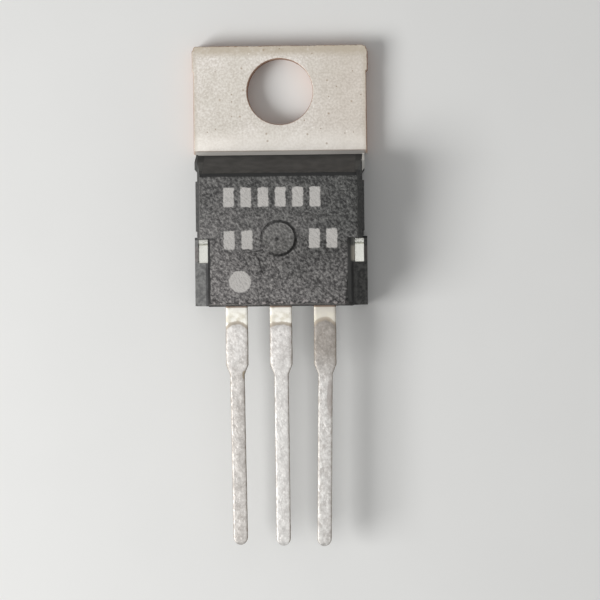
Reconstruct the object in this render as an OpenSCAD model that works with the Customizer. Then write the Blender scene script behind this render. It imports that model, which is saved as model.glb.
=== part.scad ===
// Power transistor in a moulded package with a drilled metal tab and three flat leads.
// It lies on its back. The origin is on the axis of the mounting hole, in the tab's back face.
// +Y runs to the free end of the tab, the leads run to -Y, and +Z leaves the front face.

/* [Tab] */
// Width of the bare tab
tab_w = 10.04; // [9.8:0.02:10.4]
// Thickness of the tab and of the header under the chip
tab_t = 1.27; // [1.1:0.01:1.45]
// Bare length from the free end of the tab to the moulding
tab_len = 6.15; // [5.6:0.05:6.9]
// Diameter of the mounting hole
hole_d = 3.83; // [3.4:0.01:4.1]
// Distance from the free end of the tab to the axis of the hole
hole_inset = 2.68; // [2.4:0.02:3.0]
// Size of the small bevel on the two free corners of the tab
tab_corner = 0.12; // [0.05:0.01:0.4]
// How far the cut ties of the strip stand out of each side of the tab
tie_out = 0.08; // [0.02:0.01:0.2]
// Distance from the free end of the tab to the cut ties
tie_inset = 0.3; // [0.2:0.05:0.8]
// Length of the cut ties along the tab
tie_len = 1.15; // [0.6:0.05:1.6]

/* [Header inside the moulding] */
// How far the tab keeps its full width under the edge of the moulding
tab_tuck = 0.15; // [0.08:0.01:0.3]
// How far the waist that the moulding grips is set in from each side of the tab
waist_inset = 0.92; // [0.75:0.01:1.3]
// Length of the waist
waist_len = 0.6; // [0.3:0.05:1.0]
// How far the pad that carries the chip is set in from each side of the tab
pad_inset = 0.57; // [0.45:0.01:0.7]
// Height of the step coined into the back of the pad, which keys it into the moulding
key_h = 0.45; // [0.2:0.05:0.7]
// Depth of that step, all round the pad
key_w = 0.25; // [0.1:0.05:0.4]
// Distance from the lead end of the moulding to the end of the pad
pad_end_inset = 1.8; // [1.5:0.05:2.4]
// Bevel on the two corners at the end of the pad
pad_corner = 0.3; // [0.1:0.05:0.6]
// Depth of the groove coined across the pad
groove_depth = 0.07; // [0.03:0.01:0.15]
// Width of that groove
groove_w = 0.13; // [0.06:0.01:0.2]

/* [Leads] */
// Distance between neighbouring leads
lead_pitch = 2.54; // [2.4:0.01:2.7]
// Thickness of the leads
lead_t = 0.43; // [0.3:0.01:0.6]
// Height of the underside of the leads over the back of the tab
lead_z = 2.45; // [2.1:0.01:2.7]
// Width of the leads beside the moulding
lead_wide = 1.26; // [1.1:0.01:1.5]
// Width of the leads below their shoulders
lead_thin = 0.8; // [0.6:0.01:0.95]
// Length of the wide stretch, from the moulding
wide_len = 3.35; // [2.5:0.05:4.5]
// Length of the tapered shoulders
shoulder_len = 0.58; // [0.3:0.02:1.2]
// Length of the longest lead, from the moulding to its tip
lead_len = 13.84; // [12.0:0.02:15.0]
// Length of the rounded tip
tip_len = 0.46; // [0.3:0.02:0.8]
// How much shorter the left lead is
left_short = 0.12; // [0:0.01:0.5]
// How much shorter the middle lead is
middle_short = 0.05; // [0:0.01:0.5]
// How far the left lead leans sideways below its shoulders, in degrees
left_lean = 0.6; // [-2:0.1:2]
// How far the middle lead leans sideways, in degrees
middle_lean = 0.2; // [-2:0.1:2]
// How far the right lead leans sideways, in degrees
right_lean = -0.9; // [-2:0.1:2]
// Width of the bond posts, the broad inner ends of the outer leads
post_w = 2.5; // [1.8:0.05:2.7]
// Length of the bond posts
post_len = 1.1; // [0.7:0.05:1.3]
// Distance from the lead end of the moulding to the bond posts
post_inset = 0.95; // [0.6:0.05:1.2]
// Distance from the end of the pad to the bend of the middle lead
bend_gap = 0.3; // [0.2:0.05:0.5]
// Distance along the part over which the middle lead climbs to the other leads
bend_run = 0.55; // [0.4:0.05:0.7]

/* [Moulding] */
// Thickness of the whole package, from the back to the front face
body_t = 4.45; // [4.2:0.01:4.8]
// Length of the moulding, from the tab to the lead end
body_len = 8.98; // [8.4:0.02:9.4]
// How far the parting line is set in from each side of the tab
parting_inset = 0.15; // [0.1:0.01:0.22]
// How far the front face is set in from each side of the tab
face_inset = 0.52; // [0.35:0.01:0.7]
// How far the moulding's back is set in from each side of the tab
back_inset = 0.22; // [0.15:0.01:0.3]
// How far the front and back edges of the lead end lean in from the parting line
end_draft = 0.13; // [0.04:0.01:0.25]
// Height of the thin ledge on the tab at the foot of the slanted end
ledge_t = 0.13; // [0.06:0.01:0.25]
// Width of that ledge
ledge_w = 0.2; // [0.1:0.01:0.35]
// Distance along the part that the slanted end covers
slant_run = 1.14; // [0.8:0.02:1.5]
// How far the slanted block is set in from each side of the tab, at the parting line
slant_inset = 0.25; // [0.2:0.01:0.34]
// How far the skirt beside the slanted block is set in, which leaves a rim at the parting line
skirt_inset = 0.11; // [0.04:0.01:0.16]
// Length of that skirt, from the tab end of the moulding
skirt_len = 1.3; // [1.0:0.02:1.4]
// Length over which the end of the skirt runs into the block
skirt_taper = 0.26; // [0.1:0.02:0.4]
// Distance from the tab end of the moulding to where its sides reach their full width
step_inset = 1.75; // [1.5:0.05:2.0]

/* [Side slots] */
// Length of the side slots, from the lead end of the moulding
slot_len = 3.91; // [3.4:0.01:4.3]
// Depth of the slots at the front face, measured from the side of the tab
slot_face_depth = 1.08; // [0.85:0.01:1.2]
// Depth of the slots at the height of the header
slot_root_depth = 0.74; // [0.62:0.01:0.82]
// How far the flanges below the slots are set in from each side of the tab
flange_inset = 0.02; // [0:0.01:0.06]
// How far the flanges' back is set in from each side of the tab
flange_back_inset = 0.08; // [0.07:0.01:0.14]
// Height of the outer edge of the flanges
flange_h = 1.5; // [1.4:0.05:1.9]
// Rise of the flanges' sloping top over one millimetre of width
flange_rise = 0.43; // [0.1:0.01:0.6]
// Length of the pocket that leaves the header bare
pocket_len = 1.37; // [1.0:0.01:1.8]
// Thickness of the rim outside the pocket
rim_t = 0.2; // [0.16:0.01:0.24]
// How far the header's ear reaches past the pocket, under the moulding
ear_cover = 0.06; // [0.03:0.01:0.1]
// Length of the notch in the moulding's side above the slot
nick_len = 0.45; // [0.2:0.01:0.7]
// Depth of that notch, measured from the side of the tab
nick_depth = 0.27; // [0.22:0.01:0.4]

/* [Ejector mark] */
// Distance from the lead end of the moulding to the middle of the mark
mark_inset = 3.9; // [2.5:0.05:6.0]
// Outer diameter of the ring groove
mark_d = 2.08; // [1.4:0.02:2.8]
// Width of the ring groove
mark_groove = 0.14; // [0.06:0.01:0.2]
// Depth of the ring groove
mark_depth = 0.1; // [0.05:0.01:0.15]
// How far the disc inside the ring lies below the face
mark_sink = 0.02; // [0.01:0.01:0.06]

/* [Chip and bond wires] */
// Side of the square chip
chip_w = 1.9; // [1.2:0.05:2.4]
// Thickness of the chip
chip_t = 0.25; // [0.15:0.01:0.4]
// Distance from the tab end of the moulding to the middle of the chip
chip_inset = 3.93; // [3.2:0.05:4.2]
// How far the solder shows round the chip
solder_rim = 0.1; // [0.05:0.01:0.2]
// Thickness of the solder under the chip
solder_t = 0.05; // [0.03:0.01:0.1]
// Diameter of the base wire
base_wire_d = 0.2; // [0.12:0.01:0.25]
// Diameter of the emitter wire
emitter_wire_d = 0.25; // [0.15:0.01:0.3]
// Sideways distance of the wires' bonds from the middle of the chip
bond_out = 0.5; // [0.35:0.05:0.6]
// Radius of the wires' loop as a share of their span
loop_share = 0.58; // [0.54:0.01:0.7]

/* [Hidden] */
$fn = 64;

// Overlap of solids that are joined or cut
joint = 0.1;
// Reach of the cutters past the moulding
past = 1;

// Half widths
tab_side = tab_w / 2;
waist_side = tab_side - waist_inset;
pad_side = tab_side - pad_inset;
parting_side = tab_side - parting_inset;
face_side = tab_side - face_inset;
skirt_side = tab_side - skirt_inset;
slant_side = tab_side - slant_inset;
side_draft = back_inset - parting_inset;
slot_face = tab_side - slot_face_depth;
slot_root = tab_side - slot_root_depth;
flange_side = tab_side - flange_inset;
flange_back = tab_side - flange_back_inset;
nick_side = tab_side - nick_depth;
ear_side = flange_side - rim_t + ear_cover;

// Places along the part
tab_end = hole_inset;
body_start = tab_end - tab_len;
body_end = body_start - body_len;
pad_start = body_start - tab_tuck;
pad_end = body_end + pad_end_inset;
slot_start = body_end + slot_len;
pocket_end = slot_start - pocket_len;
flange_start = slot_start + ear_cover + rim_t / 4;
nick_start = slot_start + nick_len;
groove_y = slot_start - ear_cover - groove_w * 1.8;
chip_y = body_start - chip_inset;
mark_y = body_end + mark_inset;
post_y = body_end + post_inset + post_len / 2;
face_end = body_end + end_draft;
slant_foot = body_start - ledge_w;
slant_top = slant_foot - slant_run;
skirt_end = body_start - skirt_len;
step_y = body_start - step_inset;

// Heights
ledge_z = tab_t + ledge_t;
parting_z = lead_z;
chip_top = tab_t + solder_t + chip_t;
post_top = lead_z + lead_t;

// Place of the slanted end at a height
function slant_y(z) = slant_foot - slant_run * (z - ledge_z) / (body_t - ledge_z);
// Half width of the block between the slots at a height
function slot_wall(z) = slot_root + (slot_face - slot_root) * (z - tab_t) / (body_t - tab_t);
// Height of the flange's sloping top at a distance from the middle
function flange_top(x) = flange_h + (flange_side - x) * flange_rise;
// Right half of an outline, closed by its mirror image
function both_sides(half) =
    concat(half, [for (i = [len(half) - 1:-1:0]) [-half[i][0], half[i][1]]]);

// Solid of an outline in X and Z that runs from one place along Y to another
module along_y(outline, from, to)
    translate([0, from, 0])
        rotate([90, 0, 0])
            linear_extrude(height = from - to)
                polygon(outline);

// Solid of an outline in Y and Z, centred on the middle plane
module across(outline, half)
    rotate([90, 0, 90])
        translate([0, 0, -half])
            linear_extrude(height = 2 * half)
                polygon(outline);

// Tab and pad

// Outline of the tab and the pad, with or without the ears that close the pockets
function header_outline(inset, with_ears) = both_sides(concat(
    [
        [tab_side - tab_corner, tab_end],
        [tab_side, tab_end - tab_corner],
        [tab_side, tab_end - tie_inset + tie_out],
        [tab_side + tie_out, tab_end - tie_inset],
        [tab_side + tie_out, tab_end - tie_inset - tie_len],
        [tab_side, tab_end - tie_inset - tie_len - tie_out],
        [tab_side, pad_start],
        [waist_side - inset, pad_start],
        [waist_side - inset, pad_start - waist_len - inset],
        [pad_side - inset, pad_start - waist_len - inset]
    ],
    with_ears ? [
        [pad_side, slot_start + ear_cover],
        [ear_side, slot_start + ear_cover],
        [ear_side, pocket_end - ear_cover],
        [pad_side, pocket_end - ear_cover]
    ] : [],
    [
        [pad_side - inset, pad_end + inset + pad_corner],
        [pad_side - inset - pad_corner, pad_end + inset]
    ]
));

module header()
    difference() {
        union() {
            linear_extrude(height = tab_t)
                polygon(header_outline(key_w, false));
            translate([0, 0, key_h])
                linear_extrude(height = tab_t - key_h)
                    polygon(header_outline(0, true));
        }
        translate([0, 0, -past])
            cylinder(d = hole_d, h = tab_t + 2 * past);
        across([[groove_y - groove_w / 2, tab_t], [groove_y, tab_t - groove_depth],
                [groove_y + groove_w / 2, tab_t], [groove_y, tab_t + groove_depth]], tab_side);
    }

// Leads

// Outline of a lead from a place inside the moulding to its rounded tip
function lead_outline(x, from, short, lean) =
    let (
        wide = lead_wide / 2,
        thin = lead_thin / 2,
        wide_end = body_end - wide_len,
        thin_start = wide_end - shoulder_len,
        down = [sin(lean), -cos(lean)],
        side = [cos(lean), sin(lean)],
        run = lead_len - wide_len - shoulder_len - short - tip_len,
        tip = [x, thin_start] + down / cos(lean) * run
    )
    concat(
        [[x - wide, from], [x + wide, from], [x + wide, wide_end], [x + thin, thin_start]],
        [for (a = [0:15:180]) tip + side * thin * cos(lean) * cos(a) + down * tip_len * sin(a)],
        [[x - thin, thin_start], [x - wide, wide_end]]
    );

module lead(x, from, short, lean)
    translate([0, 0, lead_z])
        linear_extrude(height = lead_t)
            polygon(lead_outline(x, from, short, lean));

// Strip that climbs from the pad to the height of the leads
module lead_bend() {
    low = tab_t - lead_t / 2;
    high = lead_z + lead_t / 2;
    foot = pad_end - bend_gap;
    head = foot - bend_run;
    miter = tan(atan2(high - low, bend_run) / 2) * lead_t / 2;
    across([
        [pad_end + joint, low + lead_t / 2],
        [foot + miter, low + lead_t / 2],
        [head + miter, high + lead_t / 2],
        [body_end + joint, high + lead_t / 2],
        [body_end + joint, high - lead_t / 2],
        [head - miter, high - lead_t / 2],
        [foot - miter, low - lead_t / 2],
        [pad_end + joint, low - lead_t / 2]
    ], lead_wide / 2);
}

module outer_lead(x, short, lean) {
    lead(x, post_y, short, lean);
    translate([x - post_w / 2, post_y - post_len / 2, lead_z])
        cube([post_w, post_len, lead_t]);
}

module heatsink_tab()
    color([0.80, 0.77, 0.72]) {
        header();
        lead_bend();
        lead(0, body_end + 2 * joint, middle_short, middle_lean);
    }

module base_lead()
    color([0.86, 0.85, 0.82]) outer_lead(-lead_pitch, left_short, left_lean);

module emitter_lead()
    color([0.80, 0.78, 0.74]) outer_lead(lead_pitch, 0, right_lean);

// Chip, solder and wires

module die_solder()
    color([0.62, 0.63, 0.64])
        translate([-chip_w / 2 - solder_rim, chip_y - chip_w / 2 - solder_rim, tab_t])
            cube([chip_w + 2 * solder_rim, chip_w + 2 * solder_rim, solder_t]);

module transistor_die()
    color([0.33, 0.36, 0.42])
        translate([-chip_w / 2, chip_y - chip_w / 2, tab_t + solder_t])
            cube([chip_w, chip_w, chip_t]);

// Flattened end of a wire where it is bonded, turned to the wire's course
module wire_foot(at, course, d)
    translate(at)
        rotate([0, 0, course])
            translate([-d * 1.1, -d * 0.7, 0])
                cube([d * 2.2, d * 1.4, d * 0.9]);

// Wire that arches from the chip to a bond post
module bond_wire(side, d) {
    start = [side * bond_out, chip_y - bond_out, chip_top];
    finish = [side * lead_pitch, post_y, post_top];
    lift = [0, 0, d * 0.6];
    course = atan2(finish[1] - start[1], finish[0] - start[0]);
    flat = norm([finish[0] - start[0], finish[1] - start[1]]);
    climb = atan2(finish[2] - start[2], flat);
    span = norm(finish - start);
    radius = span * loop_share;
    sweep = asin(span / 2 / radius);
    translate((start + finish) / 2 + lift)
        rotate([0, -climb, course])
            rotate([90, 0, 0])
                translate([0, -radius * cos(sweep), 0])
                    rotate([0, 0, 90 - sweep])
                        rotate_extrude(angle = 2 * sweep)
                            translate([radius, 0])
                                circle(d = d);
    wire_foot(start, course, d);
    wire_foot(finish, course, d);
}

module base_wire()
    color([0.78, 0.79, 0.81]) bond_wire(-1, base_wire_d);

module emitter_wire()
    color([0.78, 0.79, 0.81]) bond_wire(1, emitter_wire_d);

// Moulding

// Outline in X and Z of a block that is widest at the parting line
function drafted(side) = both_sides([[face_side, body_t], [side, parting_z], [side - side_draft, 0]]);

// Slanted block at the tab end
module tab_end_block()
    intersection() {
        across([[body_start, 0], [body_start, ledge_z], [slant_foot, ledge_z],
                [slant_top, body_t], [step_y - joint, body_t], [step_y - joint, 0]], tab_w);
        along_y(drafted(slant_side), body_start + past, step_y - past);
    }

// Lower half beside that block, a little wider, with a tapered end
module skirt()
    intersection() {
        across([[body_start, 0], [body_start, ledge_z], [slant_foot, ledge_z],
                [slant_y(parting_z), parting_z], [skirt_end, parting_z], [skirt_end, 0]], tab_w);
        along_y(drafted(skirt_side), body_start + past, step_y - past);
        linear_extrude(height = body_t)
            polygon(both_sides([[skirt_side, body_start], [skirt_side, skirt_end + skirt_taper],
                                [slant_side - side_draft, skirt_end]]));
    }

// Block from there to the lead end, narrowed between the slots and at the notches
module main_block()
    difference() {
        intersection() {
            across([[step_y, 0], [step_y, body_t], [face_end, body_t], [body_end, parting_z],
                    [face_end, 0]], tab_w);
            along_y(drafted(parting_side), body_start + past, body_end - past);
        }
        for (side = [0, 1])
            mirror([side, 0, 0]) {
                along_y([[slot_wall(-past), -past], [slot_wall(body_t + past), body_t + past],
                         [tab_w, body_t + past], [tab_w, -past]],
                        slot_start, body_end - past);
                translate([nick_side, slot_start - joint, -past])
                    cube([past, nick_start - slot_start + joint, body_t + 2 * past]);
            }
    }

// Low block below the slots with sloping tops and the pockets down to the header
module flanges() {
    inner = slot_face - joint;
    difference() {
        intersection() {
            across([[flange_start, 0], [flange_start, body_t], [body_end, body_t],
                    [body_end, parting_z], [face_end, 0]], tab_w);
            along_y(both_sides([[inner, flange_top(inner)], [flange_side, flange_h],
                                [flange_back, 0]]), flange_start + past, body_end - past);
        }
        for (side = [0, 1])
            mirror([side, 0, 0])
                translate([inner, pocket_end, tab_t - joint])
                    cube([flange_side - rim_t - inner, pocket_len, body_t]);
    }
}

module ejector_mark()
    translate([0, mark_y, body_t]) {
        difference() {
            translate([0, 0, -mark_depth])
                cylinder(d = mark_d, h = mark_depth + past);
            translate([0, 0, -mark_depth - past])
                cylinder(d = mark_d - 2 * mark_groove, h = mark_depth + 3 * past);
        }
        translate([0, 0, -mark_sink])
            cylinder(d = mark_d - mark_groove, h = mark_sink + past);
    }

module molded_body()
    color([0.26, 0.26, 0.25])
        difference() {
            union() {
                tab_end_block();
                skirt();
                main_block();
                flanges();
            }
            ejector_mark();
            heatsink_tab();
            base_lead();
            emitter_lead();
            die_solder();
            transistor_die();
            base_wire();
            emitter_wire();
        }

heatsink_tab();
base_lead();
emitter_lead();
transistor_die();
die_solder();
base_wire();
emitter_wire();
molded_body();
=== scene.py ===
# %% [markdown]
# A power transistor lies on its back and is seen from straight above. It is a stamped metal header,
# drilled at its free end, a block of black epoxy moulded round it, and three flat leads dipped in solder.
# The real part is only 29 mm long, so everything that makes it look real is a few hundredths of a
# millimetre: the radius of an edge, a crumb broken out of the moulding, the rim of a coat of solder.

import math

import bmesh
import bpy
from mathutils import Matrix, Vector, noise
from mathutils.bvhtree import BVHTree


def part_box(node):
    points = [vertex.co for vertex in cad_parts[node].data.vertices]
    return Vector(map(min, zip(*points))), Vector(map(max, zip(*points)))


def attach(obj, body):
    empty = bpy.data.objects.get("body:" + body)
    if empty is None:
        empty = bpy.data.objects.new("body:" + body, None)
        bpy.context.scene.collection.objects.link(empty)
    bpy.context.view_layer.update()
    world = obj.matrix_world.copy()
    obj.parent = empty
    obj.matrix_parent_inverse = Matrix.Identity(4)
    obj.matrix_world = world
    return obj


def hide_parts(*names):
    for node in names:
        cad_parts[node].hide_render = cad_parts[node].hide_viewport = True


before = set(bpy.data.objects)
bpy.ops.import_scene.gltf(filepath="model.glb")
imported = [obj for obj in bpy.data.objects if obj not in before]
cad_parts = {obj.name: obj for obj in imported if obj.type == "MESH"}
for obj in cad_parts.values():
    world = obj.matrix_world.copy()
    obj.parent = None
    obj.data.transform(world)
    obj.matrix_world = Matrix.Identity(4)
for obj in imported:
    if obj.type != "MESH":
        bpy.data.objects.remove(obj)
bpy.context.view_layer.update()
MM = 0.001
print("nodes:", ", ".join(sorted(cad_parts)))

# %% [markdown]
# The camera looks down from far away through a long lens, so the sides of the part hardly show. It is
# turned a little in the picture, and it leans over to the right by a little more than two degrees, which
# opens the part's right side and hides its left one. A camera's own axes are right, up and back, so three
# vectors that stand square to each other and a place are all that its matrix needs.

# %% Place the camera
SENSOR = 36.0
VIEW_DISTANCE = 240 * MM
VIEW_WIDTH = 34.78 * MM
VIEW_TURN = math.radians(0.6)
VIEW_LEAN = math.radians(2.4)
view_middle = Vector((1.056, -12.10, 1.27)) * MM


def photo_camera():
    """A long lens over the part, turned and leaned as given."""
    across = Vector((math.cos(VIEW_TURN), -math.sin(VIEW_TURN), 0))
    up = Vector((math.sin(VIEW_TURN), math.cos(VIEW_TURN), 0))
    back = Vector((0, 0, math.cos(VIEW_LEAN))) + across * math.sin(VIEW_LEAN)
    data = bpy.data.cameras.new("camera")
    data.sensor_width = SENSOR
    data.lens = SENSOR * VIEW_DISTANCE / VIEW_WIDTH
    data.clip_start = 10 * MM
    camera = bpy.data.objects.new("camera", data)
    bpy.context.collection.objects.link(camera)
    turned = Matrix((up.cross(back), up, back)).transposed().to_4x4()
    camera.matrix_world = Matrix.Translation(view_middle + back * VIEW_DISTANCE) @ turned
    return camera


camera = photo_camera()
bpy.context.scene.camera = camera
bpy.context.scene.view_settings.view_transform = "Standard"
print("lens in mm:", round(camera.data.lens, 1))

# %% [markdown]
# Plain studio light has three jobs. The world fills every shadow a little, a wide panel overhead gives
# metal something pale to mirror, and a lamp low on the left draws the edges and the grain of the moulding.
# A lamp of P watts at a distance d gives a white surface that faces it the value P / (pi * d)^2. The low
# lamp shines aslant, so about two thirds of its share reach a level surface. All three together come to
# about one, so that a colour renders as it is written.

# %% Light the part


def panel(name, place, size, share):
    """A square lamp at a place in metres that aims at the part and gives its share of the light."""
    data = bpy.data.lights.new(name, "AREA")
    data.size = size
    aim = view_middle - place
    data.energy = share * (math.pi * aim.length) ** 2
    lamp = bpy.data.objects.new(name, data)
    bpy.context.collection.objects.link(lamp)
    lamp.matrix_world = Matrix.Translation(place) @ aim.to_track_quat("-Z", "Y").to_matrix().to_4x4()
    return lamp


FILL = 0.30
BACKDROP = (0.66, 0.66, 0.655, 1)


def studio_world():
    """An even fill that the camera and mirroring surfaces see as a pale backdrop."""
    world = bpy.data.worlds.new("studio")
    world.use_nodes = True
    nodes, links = world.node_tree.nodes, world.node_tree.links
    fill = nodes["Background"]
    fill.inputs["Strength"].default_value = FILL
    fill.inputs["Color"].default_value = (1, 1, 1, 1)
    seen = nodes.new("ShaderNodeBackground")
    seen.inputs["Color"].default_value = BACKDROP
    path = nodes.new("ShaderNodeLightPath")
    chosen = path.outputs["Is Camera Ray"]
    for ray in ("Is Glossy Ray", "Is Transmission Ray"):
        either = nodes.new("ShaderNodeMath")
        either.operation = "MAXIMUM"
        links.new(chosen, either.inputs[0])
        links.new(path.outputs[ray], either.inputs[1])
        chosen = either.outputs[0]
    mix = nodes.new("ShaderNodeMixShader")
    links.new(chosen, mix.inputs["Fac"])
    links.new(fill.outputs[0], mix.inputs[1])
    links.new(seen.outputs[0], mix.inputs[2])
    links.new(mix.outputs[0], nodes["World Output"].inputs["Surface"])
    return world


bpy.context.scene.world = studio_world()
lamps = [
    panel("overhead_panel", Vector((0.03, 0.04, 0.42)), 0.5, 0.12),
    panel("low_lamp", Vector((-0.118, -0.052, 0.110)), 0.08, 0.85),
]
print("lamps in watts:", {lamp.name: round(lamp.data.energy, 3) for lamp in lamps})

# %% [markdown]
# Every finish here is a little recipe of nodes over one idea: take the place on the part in millimetres,
# turn it into a pattern, and let the pattern choose colour, roughness and relief. A short class keeps the
# recipes readable. A method adds a node or a few and returns the socket that carries the result. Numbers
# that are the same all over a finish go straight onto the shader's own sockets.

# %% Write finishes as recipes


def linear(red, green, blue):
    """A colour of 0 to 255 as a screen shows it, as the numbers that a shader takes."""
    def one(value):
        value /= 255
        return value / 12.92 if value < 0.04045 else ((value + 0.055) / 1.055) ** 2.4
    return (one(red), one(green), one(blue), 1)


class Finish:
    """A material whose patterns read the place on the part in millimetres."""

    def __init__(self, name, middle=(0, 0, 0), **even):
        self.material = bpy.data.materials.new(name)
        self.material.use_nodes = True
        self.tree = self.material.node_tree
        self.shader = self.tree.nodes["Principled BSDF"]
        for socket, value in even.items():
            self.shader.inputs[socket.replace("_", " ")].default_value = value
        place = self.tree.nodes.new("ShaderNodeTexCoord").outputs["Object"]
        scaled = self.tree.nodes.new("ShaderNodeMapping")
        scaled.inputs["Location"].default_value = [-value for value in middle]
        scaled.inputs["Scale"].default_value = (1 / MM,) * 3
        self.tree.links.new(place, scaled.inputs["Vector"])
        self.place = scaled.outputs["Vector"]
        apart = self.tree.nodes.new("ShaderNodeSeparateXYZ")
        self.tree.links.new(self.place, apart.inputs[0])
        self.x, self.y, self.z = apart.outputs

    def feed(self, socket, value):
        """Links a socket to another one, or writes a plain value into it."""
        if isinstance(value, bpy.types.NodeSocket):
            self.tree.links.new(value, socket)
        else:
            socket.default_value = value

    def maths(self, operation, first, second=0.0, third=0.0):
        """The result of one step of arithmetic."""
        made = self.tree.nodes.new("ShaderNodeMath")
        made.operation = operation
        for socket, value in zip(made.inputs, (first, second, third)):
            self.feed(socket, value)
        return made.outputs[0]

    def rise(self, value, low, high, start=0.0, end=1.0):
        """Runs smoothly from start to end as the value goes from low to high."""
        made = self.tree.nodes.new("ShaderNodeMapRange")
        made.interpolation_type = "SMOOTHSTEP"
        for name, number in (("Value", value), ("From Min", low), ("From Max", high),
                             ("To Min", start), ("To Max", end)):
            self.feed(made.inputs[name], number)
        return made.outputs["Result"]

    def both(self, *masks):
        """One where every mask is one, and their product elsewhere."""
        made = masks[0]
        for mask in masks[1:]:
            made = self.maths("MULTIPLY", made, mask)
        return made

    def band(self, value, low, high, soft):
        """One from low to high, with soft ends."""
        return self.both(self.rise(value, low - soft, low + soft), self.rise(value, high + soft, high - soft))

    def away_from(self, value, middle):
        """How far the value is from the middle one."""
        return self.maths("ABSOLUTE", self.maths("SUBTRACT", value, middle))

    def stretched(self, along, shift=(0, 0, 0), turn=0.0):
        """Places turned round the vertical, then scaled and shifted."""
        place = self.place
        for scale, rotation in (((1, 1, 1), turn), (along, 0.0)):
            made = self.tree.nodes.new("ShaderNodeMapping")
            made.inputs["Scale"].default_value = scale
            made.inputs["Rotation"].default_value = (0, 0, math.radians(rotation))
            self.tree.links.new(place, made.inputs["Vector"])
            place = made.outputs["Vector"]
        made.inputs["Location"].default_value = shift
        return place

    def cloud(self, size, detail=2.0, rough=0.5, where=None):
        """Soft noise, with a size in millimetres from one patch to the next."""
        made = self.tree.nodes.new("ShaderNodeTexNoise")
        made.inputs["Scale"].default_value = 1 / size
        made.inputs["Detail"].default_value = detail
        made.inputs["Roughness"].default_value = rough
        self.tree.links.new(where or self.place, made.inputs["Vector"])
        return made.outputs["Fac"]

    def specks(self, spacing, radius, share):
        """Small spots, one in a share of the cells of a loose grid."""
        made = self.tree.nodes.new("ShaderNodeTexVoronoi")
        made.voronoi_dimensions = "2D"
        made.inputs["Scale"].default_value = 1 / spacing
        self.tree.links.new(self.place, made.inputs["Vector"])
        pick = self.tree.nodes.new("ShaderNodeSeparateColor")
        self.tree.links.new(made.outputs["Color"], pick.inputs[0])
        chosen = self.maths("LESS_THAN", pick.outputs[0], share)
        spot = self.rise(made.outputs["Distance"], radius / spacing, 0.5 * radius / spacing)
        return self.both(chosen, spot)

    def drawn(self, name):
        """A value painted on the mesh, point by point."""
        made = self.tree.nodes.new("ShaderNodeAttribute")
        made.attribute_name = name
        return made.outputs["Fac"]

    def blend(self, factor, first, second):
        """The first colour where the factor is zero, and the second where it is one."""
        made = self.tree.nodes.new("ShaderNodeMix")
        made.data_type = "RGBA"
        self.feed(made.inputs["Factor"], factor)
        colours = [socket for socket in made.inputs if socket.type == "RGBA"]
        self.feed(colours[0], first)
        self.feed(colours[1], second)
        return next(socket for socket in made.outputs if socket.type == "RGBA")

    def veil(self, mask, share, colour, tint):
        """Lays a share of the tint over the colour where the mask is one."""
        return self.blend(self.maths("MULTIPLY", mask, share), colour, tint)

    def relief(self, height, depth, strength=1.0):
        """Bump of a depth in millimetres, laid over the relief that is already there."""
        made = self.tree.nodes.new("ShaderNodeBump")
        made.inputs["Distance"].default_value = depth * MM
        made.inputs["Strength"].default_value = strength
        self.tree.links.new(height, made.inputs["Height"])
        under = self.shader.inputs["Normal"]
        if under.is_linked:
            self.tree.links.new(under.links[0].from_socket, made.inputs["Normal"])
        self.tree.links.new(made.outputs["Normal"], under)

    def use(self, **sockets):
        """Links results to the shader's own sockets and hands the material over."""
        for name, value in sockets.items():
            self.tree.links.new(value, self.shader.inputs[name.replace("_", " ")])
        return self.material


print("white as written:", linear(255, 255, 255)[:3])

# %% [markdown]
# The black epoxy has two finishes on one piece. The front and the walls were moulded against
# spark-eroded steel, which leaves a grain of about a tenth of a millimetre that catches the light. The
# grain's colour runs from dark to pale: partly the epoxy's own tone, and partly painted highlights and
# painted shade that stand in for the light on its relief, with a bump under them. The slanted end, the slots
# and the ledges come from polished steel and are smooth. Masks by place pick them out. The grain could be
# real displacement, but at this size bump looks the same and costs nothing. The grain runs a little more
# down to the right than up, so its places are turned first.
#
# Towards the lower left the front is painted paler and towards the upper right darker, as painted light
# from the lamp on the left. Along the edge over the leads crumbs have broken out, darker in some patches
# and paler in others, and a ragged dark line of painted shade runs along the front's right edge beside
# the right slot. Names that end in Y or Z are places along the part and heights, in millimetres.

# %% Grain of the front
FRONT_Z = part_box("molded_body")[1].z / MM
LEDGE_Z = 1.40
PARTING_Z = 2.45
SLANT_FOOT_Y = -3.67
SLANT_TOP_Y = -4.81
SLOT_Y = -8.54
POCKET_Y = -9.91
BODY_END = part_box("molded_body")[0].y / MM
GRAIN = 0.137


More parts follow.
